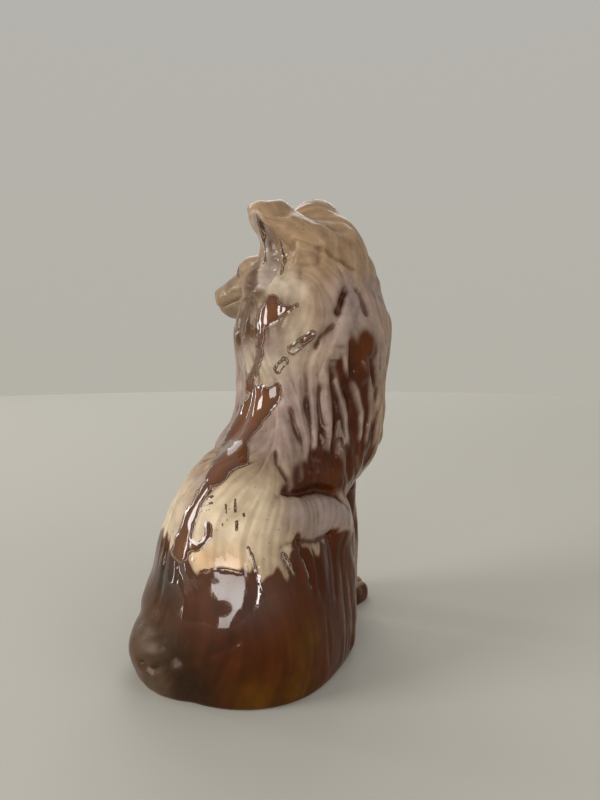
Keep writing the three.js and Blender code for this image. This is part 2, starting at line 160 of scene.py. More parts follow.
# Tool marks in the clay: height (negative for a groove), breadth, and the pixels that they pass
TOOL_MARKS = {
    "mane_hem": (-2.8, 1.8, [(278, 496), (285, 492), (300, 493), (318, 490), (334, 492), (346, 507)]),
    "knee_edge": (-1.2, 1.2, [(282, 546), (300, 541), (316, 541), (330, 533), (345, 524)]),
    "mane_lip": (1.4, 3.0, [(296, 478), (318, 474), (338, 478), (348, 486)]),
    "recess_a": (-1.3, 1.8, [(352, 334), (354, 350), (352, 368), (350, 385), (353, 400), (358, 415)]),
    "recess_b": (-1.1, 1.8, [(366, 336), (368, 352), (374, 370), (377, 390), (376, 410)]),
    "recess_c": (-1.2, 1.8, [(340, 352), (340, 368), (343, 385), (350, 400), (352, 420), (351, 440)]),
    "recess_d": (-1.2, 1.5, [(331, 362), (334, 380), (336, 400), (337, 420), (335, 440), (332, 462)]),
    "recess_e": (-1.4, 1.5, [(322, 380), (318, 395), (318, 412), (321, 428), (320, 448), (314, 468)]),
    "recess_f": (-1.3, 1.5, [(307, 392), (306, 410), (310, 430), (312, 450), (309, 466)]),
    "recess_g": (-1.1, 1.6, [(288, 400), (295, 423), (303, 445), (303, 462)]),
    "recess_h": (-1.0, 1.5, [(273, 445), (277, 463), (287, 477), (290, 486)]),
    "recess_i": (-0.78, 1.7, [(382, 348), (380, 365), (382, 390), (378, 415), (372, 440)]),
    "ear_slot": (-1.2, 2.0, [(268, 226), (273, 245), (276, 268)]),
    "ear_rib_a": (0.8, 0.9, [(264, 229), (265, 243), (264, 256)]),
    "ear_rib_b": (0.8, 0.9, [(281, 242), (282, 258), (281, 270)]),
    "ridge_a": (1, 1.1, [(364, 364), (369, 383), (370, 410), (367, 430), (362, 455)]),
    "ridge_b": (1, 1.1, [(344, 352), (347, 370), (356, 393), (361, 412), (360, 432), (355, 456)]),
    "ridge_c": (0.96, 1.1, [(334, 372), (339, 395), (346, 415), (347, 438), (343, 462)]),
    "ridge_d": (0.88, 1.1, [(379, 348), (378, 375), (381, 400), (377, 425), (370, 450)]),
    "ridge_e": (1.1, 1.2, [(326, 366), (327, 395), (330, 425), (330, 452)]),
    "ridge_f": (1.1, 1.3, [(313, 366), (312, 392), (315, 420), (317, 445)]),
    "ridge_g": (0.9, 1.3, [(299, 372), (299, 395), (303, 420), (308, 442)]),
    "ridge_h": (0.8, 1.4, [(282, 412), (286, 435), (293, 458)]),
    "under_a": (-1.2, 1.3, [(298, 536), (303, 552), (310, 572), (314, 592)]),
    "under_b": (-1.0, 1.2, [(310, 540), (316, 556), (320, 575), (322, 596)]),
    "under_c": (-0.7, 1.3, [(329, 524), (332, 548), (335, 575), (336, 605)]),
    "under_d": (-1.0, 1.2, [(281, 550), (288, 566), (297, 580)]),
    "haunch_a": (-0.25, 1.0, [(326, 610), (329, 640), (330, 668)]),
    "haunch_b": (-0.25, 1.0, [(341, 560), (344, 600), (345, 650)]),
    "crown_crease": (-1.1, 1.2, [(322, 246), (335, 258), (347, 264), (360, 272)]),
    "crown_ridge": (1.0, 2.2, [(308, 223), (324, 231), (343, 245), (358, 257)]),
    "nape_fold": (-1.2, 1.8, [(318, 244), (319, 256), (317, 268)]),
    "nape_nick": (-0.5, 0.9, [(301, 269), (301, 280)]),
    "neck_hollow": (-2.4, 1.7, [(349, 284), (343, 295), (339, 308), (337, 318)]),
    "neck_hollow_b": (-2.0, 1.5, [(355, 285), (364, 300), (368, 318)]),
    "neck_ridge": (0.9, 1.4, [(358, 290), (357, 305), (352, 318)]),
    "neck_groove": (-1.2, 1.4, [(337, 321), (328, 330), (320, 339), (313, 353)]),
    "neck_drop": (1.0, 2.5, [(335, 347), (334, 361)]),
    "tail_top": (-0.6, 1.5, [(206, 657), (220, 650), (234, 643), (246, 636)]),
    "tail_crease": (-1.6, 1.2, [(138, 659), (145, 668), (151, 672), (162, 666)]),
}
MIRRORED_MARKS = ("mane", "knee", "recess", "ridge", "under", "haunch")
# How a mark dies away: over what share of its length, and to what share of its height
MARK_TAPER = 0.2
MARK_END = 0.25

# Swellings of the knees and the rump, the same on both sides: a pixel, a radius, a height or depth
SWELLINGS = [
    ((299, 515), 6.0, 2.5), ((318, 512), 6.5, 2.7), ((337, 517), 6.0, 2.5),
    ((222, 596), 7.0, -0.8), ((222, 627), 8.0, 1.6), ((184, 630), 7.0, 1.2),
]
# Slow waves in the glaze of the rump, and where: a pixel and a radius
WAVE_HEIGHT = 0.22
WAVE_BREADTH = 7.0
WAVE_SOFTNESS = 1.8
WAVE_DABS = [((222, 605), 17), ((185, 590), 12), ((260, 610), 14)]

# Tool marks on the face and cheeks, in the head's frame, cut on both sides or once down the middle
FACE_MARKS = {
    "mouth": (
        -0.6, 0.8, [(43.5, 0.3, -8.4), (40, 3.5, -9), (33, 5.5, -9.3), (24, 7.5, -9), (18, 9, -7.5)],
    ),
    "nostril": (-0.7, 0.7, [(45, 1.4, -4.5), (44.4, 2.6, -4.2)]),
    "nose_cleft": (-0.4, 0.6, [(45.4, 0, -5.5), (44.6, 0, -8)]),
    "eyeball": (0.7, 2.0, [(19.8, 8.3, 3.2), (20.8, 7.9, 3.2)]),
    "upper_lid": (
        0.7, 0.8, [(16.2, 8.7, 4.4), (18.2, 8.5, 5.6), (20.4, 7.3, 5.0), (21.5, 6.3, 3.6)],
    ),
    "lid_crease": (-0.5, 0.7, [(15.4, 9.1, 5.6), (17.8, 8.3, 7.2), (20.6, 6.9, 6.4)]),
    "eye_bag": (-0.6, 0.7, [(16.2, 9.1, 1.2), (18.6, 8.9, -0.4), (21.2, 7.5, 0.6)]),
    "furrow": (-0.6, 1.8, [(24, 0, 4), (15, 0, 10), (4, 0, 16)]),
    "cheek_a": (-0.9, 1.3, [(9, 12, -3), (1, 18, -7), (-8, 21, -13)]),
    "cheek_b": (-0.9, 1.3, [(11, 11, -9), (3, 17, -14), (-5, 20, -21)]),
    "cheek_c": (-0.9, 1.3, [(13, 9, -14), (7, 14, -21), (1, 16, -29)]),
}

# Grooves between the toes: how far across a paw each lies
PAW_NODES = ("left_foreleg", "right_foreleg", "left_hind_paw", "right_hind_paw")
PAW_TOP = 8.0
TOE_SHARES = (0.28, 0.5, 0.72)
TOE_MARK = (-1.2, 0.9)
TOE_PATH = [(9.0, 9.5), (3.0, 7.0), (0.0, 3.0)]

# Colours of the glazes
BEIGE = (0.31, 0.21, 0.125)
CREAM = (0.52, 0.45, 0.35)
LAVENDER = (0.29, 0.22, 0.195)
TAN = (0.09, 0.042, 0.016)
OLIVE = (0.20, 0.145, 0.085)
DUSK = (0.28, 0.22, 0.20)
BUTTER = (0.60, 0.50, 0.355)
PEACH = (0.62, 0.42, 0.24)
GOLD = (0.085, 0.032, 0.001)
RUSSET = (0.052, 0.011, 0.004)
CHESTNUT = (0.085, 0.021, 0.004)
AMBER = (0.068, 0.0145, 0.0005)
UMBER = (0.022, 0.009, 0.003)
SMOKE = (0.075, 0.047, 0.028)
INK = (0.012, 0.009, 0.007)
IRIS = (0.09, 0.035, 0.01)

# Bare clay shows inside, and where the base faces the floor
BASE_FACING = -0.7
BASE_HEIGHT = 2.0
CLAY_SOFTNESS = 0.6

# Where each glaze was sprayed, on both sides: a pixel and a radius
SPRAYED = [
    (LAVENDER, [
        ((330, 420), 22), ((300, 430), 16), ((375, 350), 14), ((350, 330), 12), ((382, 300), 8),
        ((374, 285), 6),
    ]),
    (CREAM, [((289, 291), 7), ((276, 281), 6), ((277, 335), 10), ((272, 358), 9)]),
    (LAVENDER, [
        ((243, 340), 7), ((240, 370), 7), ((239, 400), 6), ((222, 440), 5), ((196, 480), 4),
        ((172, 512), 7),
    ]),
    (BUTTER, [((252, 510), 13), ((230, 540), 12), ((212, 545), 9), ((218, 515), 7)]),
    (DUSK, [
        ((352, 300), 4), ((350, 314), 4), ((315, 508), 9), ((336, 514), 8), ((296, 518), 6),
        ((320, 530), 7),
    ]),
    (OLIVE, [((228, 296), 9)]),
    (RUSSET, [((349, 496), 4), ((350, 506), 4), ((350, 514), 3)]),
    (CHESTNUT, [((353, 507), 6), ((354, 528), 7), ((353, 548), 5)]),
    (PEACH, [((205, 560), 5), ((232, 564), 5)]),
    (TAN, [
        ((250, 302), 6.5), ((257, 286), 5), ((250, 288), 6), ((246, 320), 6), ((250, 330), 5),
        ((253, 274), 5), ((242, 316), 6), ((239, 338), 6),
    ]),
]
# Where the glaze shines most and least
LUSTRE_DABS = [
    ((264, 240), 5), ((281, 256), 5), ((212, 592), 13), ((240, 600), 10), ((262, 595), 10),
    ((183, 575), 9), ((276, 556), 6),
]
SATIN_DABS = [((145, 640), 13), ((170, 690), 9), ((250, 305), 8), ((252, 285), 6)]
DARK_GLOSS = (0.3, 0.08)  # darker paint is glossier
LUMINANCE = (0.3, 0.6, 0.1)

# The russet glaze pooled in the creases, laid on deeper there as painted shade: on the head, and how
# much more below it
HEAD_FLOOR = 128.0  # what is higher belongs to the head
CREASE_EDGE = (0.05, 0.5)
CREASE_GLAZE_AND_SHADE_HEAD = 0.45
CREASE_GLAZE_AND_SHADE_MANE = 0.4
CREASE_GLAZE_AND_SHADE_FADE = (HEAD_FLOOR + 10.0, HEAD_FLOOR - 15.0)

# The cream of the chest, and of the ears inside
BIB_AT = (-4.0, -52.0, 92.0)
BIB_RADIUS = 24.0
EAR_BOWL_PAINT = (0.42, 0.355, 0.305)

# The top of the amber glaze round the rump: pixels on its edge, then bearings in degrees and heights
AMBER_EDGE = [
    (163, 530), (186, 556), (198, 572), (220, 569), (240, 573), (252, 560), (262, 582), (276, 572),
    (290, 584), (298, 548), (315, 546), (328, 530), (344, 528),
]
AMBER_UNSEEN = [(20, 50), (-20, 44), (-45, 26), (-62, 9), (-90, 6), (-112, 9), (-128, 40)]
AMBER_FADE = 0.8
# How far that edge follows the locks and strands, and about which pixels it does so more
AMBER_LOCKS = 0.7
AMBER_STRANDS = 0.8
AMBER_STREAK = 0.4
AMBER_FINGERS = [((280, 562), 11, 1.6), ((318, 542), 9, 1.2), ((170, 545), 7, 1.2)]
AMBER_TINTS = [
    (UMBER, [((165, 580), 9), ((190, 690), 14), ((165, 650), 10)]),
    (SMOKE, [((142, 636), 10), ((156, 688), 7)]),
    (RUSSET, [((330, 570), 12), ((240, 610), 10)]),
    (GOLD, [((255, 702), 7), ((300, 690), 7), ((310, 640), 6)]),
]

# Where russet pools between the locks of the mane: a pixel and a radius
RUSSET_POOLS = [
    ((350, 474), 9), ((330, 478), 7), ((310, 482), 5), ((364, 452), 8), ((340, 456), 8),
    ((322, 462), 6), ((360, 405), 7), ((366, 380), 6), ((358, 352), 7), ((350, 374), 7),
    ((300, 488), 5), ((345, 425), 7), ((368, 432), 6), ((372, 350), 6), ((335, 440), 6),
]
# In the hollows of the near side of the neck
TENT_POOLS = [((346, 292), 2.0), ((342, 301), 2.4), ((339, 312), 2.2)]
# Where it covers the ridges too: all along the hem, and in part behind the shoulder
HEM_POOLS = [
    ((288, 489), 3), ((300, 485), 4.5), ((312, 480), 5.5), ((326, 476), 6), ((340, 478), 6.5),
    ((350, 488), 6.5), ((350, 500), 5), ((340, 466), 6), ((354, 466), 7), ((366, 456), 7),
    ((318, 466), 4.5), ((305, 474), 4), ((342, 453), 4.5), ((356, 450), 4.5), ((326, 458), 4),
]
SHOULDER_POOLS = [
    ((366, 343), 5.5), ((373, 354), 5.5), ((362, 358), 5), ((352, 368), 5), ((347, 382), 4.5),
    ((357, 380), 4.5), ((368, 372), 4), ((346, 396), 4),
]
# Where it is chestnut instead
CHESTNUT_DABS = [((372, 350), 8), ((358, 348), 6), ((352, 482), 9), ((366, 455), 8), ((330, 482), 6)]
# How the russet lies: the depth of a full groove, how far grooves and strands draw it, and its edges
GROOVE_DEPTH = 0.4
RUSSET_REACH = 1.3
RUSSET_GROOVES = 0.9
RUSSET_GROOVE_LIMIT = 0.5
RUSSET_EDGE = (0.3, 1.15)
RUSSET_RIM = (0.1, 0.4)
SOLID_EDGE = (0.25, 0.75)
HEM_GROOVES = 0.1
HEM_STRANDS = 0.08
SHOULDER_GROOVES = 0.45
SHOULDER_STRANDS = 0.1
PALE_STRANDS = (0.9, 2.0)
PALE_SHARE = 0.4
HEM_FADE = (-1.5, -0.5)
RUSSET_SOFTNESS = 0.45

# Pools of brown glaze with sharp edges: the pixels of each outline
GLAZE_POOLS = {
    "ruff": [
        (270, 294), (279, 296), (281, 303), (284, 306), (292, 304), (298, 303), (298, 307), (291, 311),
        (282, 317), (278, 322), (271, 327), (264, 332), (261, 340), (257, 334), (257, 320), (259, 311),
        (264, 302),
    ],
    "band": [
        (257, 330), (265, 328), (264, 345), (263, 356), (260, 368), (257, 380), (255, 390), (245, 394),
        (244, 385), (248, 374), (253, 364), (256, 350),
    ],
    "streak": [
        (256, 385), (268, 386), (277, 383), (281, 386), (280, 397), (274, 410), (260, 427), (249, 444),
        (247, 464), (234, 471), (224, 482), (212, 488), (205, 480), (210, 466), (222, 444), (234, 420),
        (244, 398),
    ],
    "flank": [
        (205, 480), (212, 488), (205, 500), (199, 513), (194, 527), (193, 538), (197, 541), (201, 537),
        (203, 529), (205, 523), (210, 522), (213, 528), (212, 537), (206, 546), (197, 551), (190, 553),
        (187, 561), (179, 562), (172, 553), (178, 530), (190, 505),
    ],
}
# Narrow runs of the same glaze: half breadth, and the pixels that they pass
GLAZE_RUNS = [
    (0.9, [(257, 216), (261, 224), (264, 236), (265, 250), (264, 262)]),
    (0.6, [(280, 240), (283, 252), (284, 264), (281, 274)]),
    (1.4, [(312, 334), (303, 341)]),
    (0.5, [(300, 548), (306, 566), (312, 588)]),
    (0.9, [(284, 554), (290, 566), (294, 574)]),
    (0.5, [(248, 548), (254, 562), (262, 590)]),
    (0.4, [(198, 572), (210, 569), (226, 569), (240, 573)]),
    (0.3, [(207, 494), (214, 489)]),
    (0.3, [(205, 500), (213, 496)]),
    (0.3, [(204, 506), (212, 503)]),
    (0.3, [(202, 512), (210, 510)]),
    (0.25, [(226, 505), (227, 520)]),
    (0.25, [(235, 500), (235, 511)]),
    (0.25, [(222, 522), (223, 531)]),
    (0.25, [(244, 514), (245, 528)]),
    (0.25, [(236, 522), (237, 530)]),
]
# Rings of it: radius, half breadth, and the pixels that they pass round
GLAZE_RINGS = [
    (1.3, 0.4, [(301, 343), (292, 350)]),
    (1.1, 0.5, [(285, 361), (278, 369)]),
]
# How the edges of pools, runs and rings waver: heights and breadths
RUN_WOBBLE = ((0.35, 3.2), (0.2, 1.3))
# How far they stand up and smooth the locks, from outside their edge to inside it
RUN_RISE = 0.3
RUN_BANK = (0.2, -0.8)
POOL_SMOOTHING = 0.75
POOL_BANK = (0.6, -0.8)
# How an outline is drawn through its pixels and laid on the skin
OUTLINE_STEPS = 5
OUTLINE_MARGIN = 8.0
OUTLINE_FAR = 9.0  # stands for any greater distance
AWAY_LIMIT = 0.2  # how far a surface seen through an outline may turn away

# How far round a point the relief is averaged, to tell hollows from ridges
HOLLOW_SPREAD = 1.8


def smoothstep(low, high, values):
    share = np.clip((values - low) / (high - low), 0, 1)
    return share * share * (3 - 2 * share)


def unit(vectors):
    return vectors / np.maximum(np.linalg.norm(vectors, axis=-1, keepdims=True), 1e-9)


def head_matrix():
    turn = Matrix.Rotation(math.radians(HEAD_TURN_DEG), 4, "Z")
    drop = Matrix.Rotation(math.radians(HEAD_DROP_DEG), 4, "Y")
    tilt = Matrix.Rotation(math.radians(HEAD_TILT_DEG), 4, "X")
    return Matrix.Translation(HEAD_AT) @ turn @ drop @ tilt


def on_head(place):
    return np.array(head_matrix() @ Vector(place))


# The grid

grid_start = np.floor((np.array(cad_low) / MM - GRID_MARGIN) / VOXEL).astype(int)
grid_shape = np.ceil((np.array(cad_high) / MM + GRID_MARGIN) / VOXEL).astype(int) - grid_start
first_cell = tuple(int(i) for i in grid_start)


def grid_transform():
    return openvdb.createLinearTransform(voxelSize=VOXEL)


def distances_from(node):
    """How far each point of the grid is from the node's surface, negative inside it."""
    mesh = node.data
    mesh.calc_loop_triangles()
    points = np.empty(len(mesh.vertices) * 3, np.float32)
    corners = np.empty(len(mesh.loop_triangles) * 3, np.int32)
    mesh.vertices.foreach_get("co", points)
    mesh.loop_triangles.foreach_get("vertices", corners)
    field = openvdb.FloatGrid.createLevelSetFromPolygons(
        points=points.reshape(-1, 3) / np.float32(MM),
        triangles=corners.reshape(-1, 3).astype(np.uint32),
        transform=grid_transform(),
        halfWidth=BAND_VOXELS,
    )
    values = np.empty(grid_shape, np.float32)
    field.copyToArray(values, ijk=first_cell)
    return values


def fuse(first, second, fillet):
    """The union of two distance fields, with a fillet of that size between them."""
    near = np.maximum(fillet - np.abs(first - second), 0) / fillet
    return np.minimum(first, second) - near * near * (fillet / 4)


def soften(values, spread):
    """The grid's values blurred by a bell curve of that spread."""
    reach = math.ceil(BLUR_REACH * spread / VOXEL)
    taps = np.exp(-0.5 * (np.arange(-reach, reach + 1) * VOXEL / spread) ** 2)
    taps = (taps / taps.sum()).astype(np.float32)
    for axis in range(3):
        padding = [(reach, reach) if a == axis else (0, 0) for a in range(3)]
        line = np.moveaxis(np.pad(values, padding, mode="edge"), axis, 0)
        length = values.shape[axis]
        blurred = sum(tap * line[i:i + length] for i, tap in enumerate(taps))
        values = np.moveaxis(blurred, 0, axis)
    return values


def cell_and_part(points, size):
    at = points / size
    low = np.floor(at)
    return low.astype(np.int32), (at - low).astype(np.float32)


def corner_mix(table, low, part):
    """The table's values between grid corners, mixed by how near each corner is."""
    total = 0
    for corner in product((0, 1), repeat=3):
        weight = np.prod(np.where(corner, part, 1 - part), axis=1)
        i, j, k = (low + corner).T
        total = total + weight * table[i, j, k]
    return total


def read_grid(values, points):
    low, part = cell_and_part(points, VOXEL)
    return corner_mix(values, np.clip(low - grid_start, 0, grid_shape - 2), part)


def enclosed_air(values):
    """Where the air inside the castings is: solid lies beyond it on five sides, all but below."""
    solid = values < 0
    inside = ~solid
    for axis in range(3):
        line = np.moveaxis(solid, axis, 0)
        inside &= np.moveaxis(np.logical_or.accumulate(line[::-1], 0)[::-1], 0, axis)
        if axis < 2:
            inside &= np.moveaxis(np.logical_or.accumulate(line, 0), 0, axis)
    return inside


# The lie of the hair

noise_table = np.random.default_rng(SEED).standard_normal((NOISE_CELLS,) * 3).astype(np.float32)


def noise(points, breadth):
    low, part = cell_and_part(points, breadth)
    part = part * part * (3 - 2 * part)
    total = 0
    for corner in product((0, 1), repeat=3):
        weight = np.prod(np.where(corner, part, 1 - part), axis=1)
        i, j, k = ((low + corner) % NOISE_CELLS).T
        total = total + weight * noise_table[i, j, k]
    return total


def hair_lie(points, normals, tail_share):
    """The way that the hair lies at each point, along the surface."""
    round_mane = np.arctan2(points[:, 1] - MANE_AXIS[1], points[:, 0] - MANE_AXIS[0])
    swing = LOCK_SWAY * np.cos(points[:, 2] / LOCK_WAVE * 2 * np.pi + LOCK_TWIST * round_mane)
    down = -np.ones(len(points))
    fall = unit(np.stack([np.sin(round_mane) * swing, -np.cos(round_mane) * swing, down], 1))
    back = unit(points - on_head(NOSE_ON_HEAD))
    from_head = np.linalg.norm(points - np.array(HEAD_AT), axis=1)
    on_body = smoothstep(*HEAD_REACH, from_head)[:, None]
    lie = fall * on_body + back * (1 - on_body)
    aside = points[:, :2] - np.array(RUMP_AXIS)
    round_rump = unit(np.stack([aside[:, 1], -aside[:, 0], 0 * down], 1))
    lie = lie * (1 - tail_share[:, None]) + round_rump * tail_share[:, None]
    return unit(lie - normals * np.sum(lie * normals, 1, keepdims=True))


def combed(points, slopes, tail_share, breadths):
    """Noise of each breadth, drawn out along the lie of the hair and brought to an even spread."""
    totals = [noise(points, breadth) for breadth in breadths]
    for way in (1, -1):
        at = points
        for _ in range(COMB_STEPS):
            cell = np.clip((at / VOXEL).round().astype(np.int32) - grid_start, 0, grid_shape - 1)
            normals = unit(slopes[cell[:, 0], cell[:, 1], cell[:, 2]])
            at = at + way * COMB_STEP * hair_lie(at, normals, tail_share)
            totals = [total + noise(at, breadth) for total, breadth in zip(totals, breadths)]
    return [total / total.std() for total in totals]


def rounded(ridges):
    """Round locks with a narrow crease where the combed noise changes sign."""
    return np.sqrt(ridges ** 2 + CREASE_SOFTNESS) - MEAN_LOCK


# The skin, before it is worked

names = sorted(nodes)
node_fields = {name: distances_from(nodes[name]) for name in names}


def fused_figure():
    figure = fuse(node_fields["body"], node_fields["head"], SEAM_FILLET)
    for name in names:
        if name not in ("body", "head"):
            figure = fuse(figure, node_fields[name], LUTE_FILLET.get(name, OTHER_FILLET))
    return soften(figure, FACET_BLUR)


figure = fused_figure()
field = openvdb.FloatGrid(BAND_VOXELS * VOXEL)
field.copyFromArray(figure, ijk=first_cell)
field.transform = grid_transform()
points, quads = field.convertToQuads()
points = points.astype(float)
slopes = np.stack(np.gradient(figure), -1).astype(np.float32)


def sum_at_corners(face_values):
    """The sum, at each point, of the values of the faces round it."""
    return sum(np.bincount(quads[:, i], face_values, len(points)) for i in range(4))


def skin_normals():
    one, two, three, four = (points[quads[:, i]] for i in range(4))
    facing = np.cross(three - one, four - two)
    return unit(np.stack([sum_at_corners(facing[:, axis]) for axis in range(3)], 1))


def smoothed(values, spread):
    """The values on the skin, evened out over about that distance."""
    faces_round = sum_at_corners(np.ones(len(quads)))
    for _ in range(round(2 * (spread / VOXEL) ** 2)):
        values = sum_at_corners(values[quads].mean(1)) / faces_round
    return values


normals = unit(np.stack([read_grid(slopes[..., axis], points) for axis in range(3)], 1))
if np.sum(skin_normals() * normals) < 0:
    quads = quads[:, ::-1]
near_node = np.stack([read_grid(node_fields[name], points) for name in names], 1)
share_of = np.exp(-near_node / CASTING_BLEND)
share_of /= share_of.sum(1, keepdims=True)
casting = near_node.argmin(1)
cavity = enclosed_air(np.minimum(node_fields["body"], node_fields["head"]))
inside = read_grid(cavity.astype(np.float32), points + CAVITY_PROBE * normals) > 0.5
tail_share = share_of[:, names.index("tail")]
breadths = (LOCK_BREADTH, STRAND_BREADTH, HAIR_BREADTH)
locks, strands, hairs = combed(points, slopes, tail_share, breadths)


def by_casting(values):
    """A value given for each casting, blended where castings meet."""
    return share_of @ np.array([values[name] for name in names])


# Places on the skin

def camera_turn():
    pitch = Matrix.Rotation(math.radians(90 + CAMERA_PITCH_DEG), 3, "X")
    return Matrix.Rotation(math.radians(CAMERA_HEADING_DEG - 90), 3, "Z") @ pitch


def skin_tree():
    return BVHTree.FromPolygons(points.tolist(), quads.tolist())


def on_skin(pixel):
    """The place on the skin that the photograph shows at that pixel."""
    focus = CAMERA_LENS / SENSOR * max(PHOTO_SIZE)
    ray = Vector((pixel[0] - PHOTO_SIZE[0] / 2, PHOTO_SIZE[1] / 2 - pixel[1], -focus))
    place = surface.ray_cast(Vector(CAMERA_AT), camera_turn() @ ray.normalized())[0]
    if place is None:
        raise ValueError(f"pixel {pixel} is beside the figure")
    return np.array(place)


def path_at(pixels):
    return [on_skin(pixel) for pixel in pixels]


def snapped(place):
    """The place on the skin nearest to that place."""
    return np.array(surface.find_nearest(Vector(place))[0])


def mirrored(place):
    """The same place on the other side of the head or of the body."""
    if place[2] > HEAD_FLOOR:
        across = head_matrix().inverted() @ Vector(place)
        across.y = -across.y
        return snapped(head_matrix() @ across)
    return snapped((2 * SPINE_X - place[0], place[1], place[2]))


def distance_to(path):
    """How far each point is from a path, and what share of the path lies before that."""
    lengths = [np.linalg.norm(end - start) for start, end in zip(path, path[1:])]
    nearest = np.linalg.norm(points - path[0], axis=1)
    before = np.zeros(len(points))
    for i, (start, end) in enumerate(zip(path, path[1:])):
        along = end - start
        share = np.clip((points - start) @ along / (along @ along), 0, 1)
        far = np.linalg.norm(points - start - share[:, None] * along, axis=1)
        nearer = far < nearest
        nearest = np.where(nearer, far, nearest)
        before = np.where(nearer, (sum(lengths[:i]) + share * lengths[i]) / sum(lengths), before)
    return nearest, before


def seen_from_head():
    """Where each point is in the head's frame."""
    return (points - np.array(HEAD_AT)) @ np.array(head_matrix().to_3x3())


def dab(place, radius):
    return np.exp(-(np.linalg.norm(points - place, axis=1) / radius) ** 2)


def dab_at(pixel, radius):
    return dab(on_skin(pixel), radius)


def either_side(pixel, radius):
    """A dab at that pixel, and the same on the other side of the figure."""
    place = on_skin(pixel)
    return np.maximum(dab(place, radius), dab(mirrored(place), radius))


def covered(dabs, lay):
    """How well the dabs, laid on one side or both, cover each point, from 0 to 1."""
    return 1 - np.prod([1 - lay(*spot) for spot in dabs], 0)


def hand_pulls():
    """How far each point is pulled, as the photograph sees it."""
    right, up = (np.array(camera_turn().col[i]) for i in range(2))
    moves = np.zeros_like(points)
    for pixel, (aside, rise), radius in HAND_PULLS:
        moves += dab_at(pixel, radius)[:, None] * (aside * right + rise * up)
    turn = np.array(head_matrix().to_3x3())
    for place, move, radius in HEAD_PULLS:
        for side in (1, -1):
            across = np.array((1, side, 1))
            moves += dab(on_head(place * across), radius)[:, None] * (turn @ (move * across))
    return moves


surface = skin_tree()
points = points + hand_pulls()
surface = skin_tree()
normals = skin_normals()


# The relief

def mark(height, breadth, path):
    """A groove or ridge along a path, which dies away at both ends."""
    far, before = distance_to(path)
    taper = smoothstep(0, MARK_TAPER, before) * smoothstep(1, 1 - MARK_TAPER, before)
    return height * (MARK_END + (1 - MARK_END) * taper) * np.exp(-(far / breadth) ** 2)


def toe_paths():
    for name in PAW_NODES:
        paw = points[(casting == names.index(name)) & (points[:, 2] < PAW_TOP)]
        front = paw[:, 1].min()
        for share in TOE_SHARES:
            across = paw[:, 0].min() * (1 - share) + paw[:, 0].max() * share
            yield [snapped((across, front + back, height)) for back, height in TOE_PATH]


def face_paths(places):
    """A path on the face and its mirror image, or the path alone where it runs down the middle."""
    sides = (1, -1) if any(y for _, y, _ in places) else (1,)
    return [[snapped(on_head((x, side * y, z))) for x, y, z in places] for side in sides]


def tool_relief():
    relief = np.zeros(len(points))
    for name, (height, breadth, pixels) in TOOL_MARKS.items():
        path = path_at(pixels)
        relief += mark(height, breadth, path)
        if name.startswith(MIRRORED_MARKS):
            relief += mark(height, breadth, [mirrored(place) for place in path])
    for height, breadth, places in FACE_MARKS.values():
        for path in face_paths(places):
            relief += mark(height, breadth, path)
    for path in toe_paths():
        relief += mark(*TOE_MARK, path)
    for pixel, radius, height in SWELLINGS:
        relief += height * either_side(pixel, radius)
    wave = WAVE_HEIGHT * smoothed(noise(points, WAVE_BREADTH), WAVE_SOFTNESS)
    return relief + wave * np.max([either_side(*spot) for spot in WAVE_DABS], 0)


def lock_height():
    height = by_casting(LOCK_HEIGHT) * smoothstep(*FOOT_FADE, points[:, 2]) * ~inside
    height = height * (1 - FACE_SMOOTHING * smoothstep(*FACE_START, seen_from_head()[:, 0]))
    for pixel, radius, share in SMOOTH_DABS:
        height = height * (1 - share * dab_at(pixel, radius))
    return height


def outline_distance(pixels):
    """How far each point is outside a closed outline drawn over the photograph, negative within it."""
    corners = np.array(path_at(pixels))
    centre = corners.mean(0)
    sight = unit(centre - np.array(CAMERA_AT))
    right = unit(np.cross(sight, (0, 0, 1)))
    up = np.cross(right, sight)
    reach = np.linalg.norm(corners - centre, axis=1).max() + OUTLINE_MARGIN
    near = np.linalg.norm(points - centre, axis=1) < reach
    near &= normals @ sight < AWAY_LIMIT
    flat = np.stack([(points[near] - centre) @ right, (points[near] - centre) @ up], 1)
    line = rounded_outline(np.stack([(corners - centre) @ right, (corners - centre) @ up], 1))
    gaps = np.full(len(flat), np.inf)
    crossings = np.zeros(len(flat), int)
    for start, end in zip(line, np.roll(line, -1, 0)):
        along = end - start
        share = np.clip((flat - start) @ along / (along @ along), 0, 1)
        gaps = np.minimum(gaps, np.linalg.norm(flat - start - share[:, None] * along, axis=1))
        spans = (start[1] > flat[:, 1]) != (end[1] > flat[:, 1])
        if along[1]:
            crossed_at = start[0] + (flat[:, 1] - start[1]) * along[0] / along[1]
            crossings += spans & (flat[:, 0] < crossed_at)
    distances = np.full(len(points), OUTLINE_FAR)
    distances[near] = np.where(crossings % 2, -gaps, gaps)
    return distances


def rounded_outline(corners):
    """A closed Catmull-Rom curve through the corners."""
    before, after, beyond = (np.roll(corners, shift, 0) for shift in (1, -1, -2))
    steps = np.arange(OUTLINE_STEPS)[:, None, None] / OUTLINE_STEPS
    curve = 2 * corners + (after - before) * steps
    curve = curve + (2 * before - 5 * corners + 4 * after - beyond) * steps ** 2
    curve = curve + (3 * corners - before - 3 * after + beyond) * steps ** 3
    return (curve / 2).transpose(1, 0, 2).reshape(-1, 2)


def run_distance():
    """How far each point is from the edge of the nearest run of glaze, negative within it."""
    gaps = [outline_distance(pixels) for pixels in GLAZE_POOLS.values()]
    for half_breadth, pixels in GLAZE_RUNS:
        gaps.append(distance_to(path_at(pixels))[0] - half_breadth)
    for radius, half_breadth, pixels in GLAZE_RINGS:
        gaps.append(np.abs(distance_to(path_at(pixels))[0] - radius) - half_breadth)
    wobble = sum(height * noise(points, breadth) for height, breadth in RUN_WOBBLE)
    return np.min(gaps, 0) + wobble


